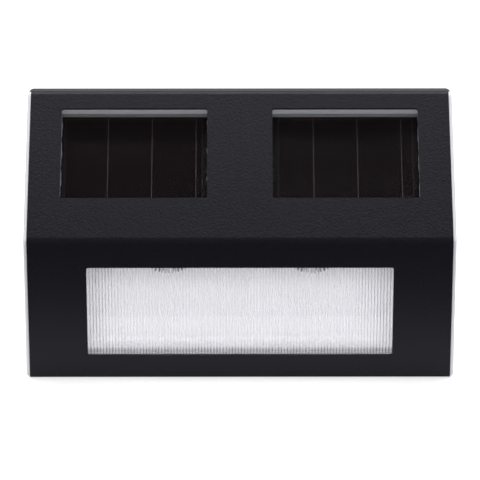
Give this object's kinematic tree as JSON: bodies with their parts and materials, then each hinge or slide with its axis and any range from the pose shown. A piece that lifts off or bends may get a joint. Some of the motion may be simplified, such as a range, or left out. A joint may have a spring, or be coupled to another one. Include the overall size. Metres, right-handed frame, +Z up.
{
  "type": "solar fence light",
  "caption": "Wedge-shaped solar fence light: folded black metal cover with panel windows in the slope, a wide ribbed lens below and a flat back that hangs on screws.",
  "frame": {"origin": "on the flat back mounting face, midway between the places where the hanging screws rest in the keyhole slots", "axes": "+X to the viewer's right, -Y towards the front of the light, +Y into the fence, +Z up"},
  "size_m": [0.12, 0.0385, 0.0738],
  "materials": {
    "black_coat": "fine-textured powder coat, satin",
    "white_abs": "moulded, satin",
    "black_abs": "moulded, fine spark texture",
    "seal_foam": "closed-cell foam",
    "zinc_steel": "zinc plated",
    "clear_lens": "clear, ribbed on the back",
    "white_gloss": "glossy white",
    "clear_resin": "clear cast resin",
    "tinned_wire": "tinned",
    "board_laminate": "green solder mask",
    "black_resin": "moulded epoxy",
    "ferrite": "sintered, matt",
    "copper": "enamelled copper",
    "can_aluminium": "drawn can",
    "solder": "bright solder",
    "cell_steel": "nickel plated",
    "cell_sleeve": "shrink sleeve",
    "spring_steel": "nickel plated",
    "panel_glass": "float glass",
    "cell_film": "dark brown thin film",
    "phenolic": "laminate",
    "terminal_brass": "plated",
    "red_insulation": "insulation",
    "black_insulation": "insulation"
  },
  "bodies": {
    "housing": {"cover_sheet": "black_coat", "body_shell": "white_abs", "back_cover": "black_abs", "back_gasket": "seal_foam", "back_screws": "zinc_steel", "lens": "clear_lens", "reflector": "white_gloss", "reflector_screws": "zinc_steel", "led_left": "clear_resin", "led_right": "clear_resin", "led_leads": "tinned_wire", "circuit_board": "board_laminate", "board_screws": "zinc_steel", "control_chip": "black_resin", "chip_leads": "tinned_wire", "coil_core": "ferrite", "coil_winding": "copper", "capacitor": "can_aluminium", "solder_joints": "solder", "battery_can": "cell_steel", "battery_sleeve": "cell_sleeve", "battery_cap": "cell_steel", "positive_contact": "spring_steel", "negative_contact": "spring_steel", "contact_spring": "spring_steel", "solar_glass_left": "panel_glass", "solar_glass_right": "panel_glass", "solar_cells_left": "cell_film", "solar_cells_right": "cell_film", "solar_backing_left": "black_resin", "solar_backing_right": "black_resin", "switch_case": "cell_steel", "switch_base": "phenolic", "switch_terminals": "terminal_brass", "wires_red": "red_insulation", "wires_black": "black_insulation"},
    "switch_slider": {"switch_knob": "black_abs", "switch_contact": "terminal_brass"}
  },
  "joints": [
    {"name": "switch_slide", "type": "slide", "parent": "housing", "child": "switch_slider", "axis": [1, 0, 0], "range_m": [0, 0.002]}
  ]
}
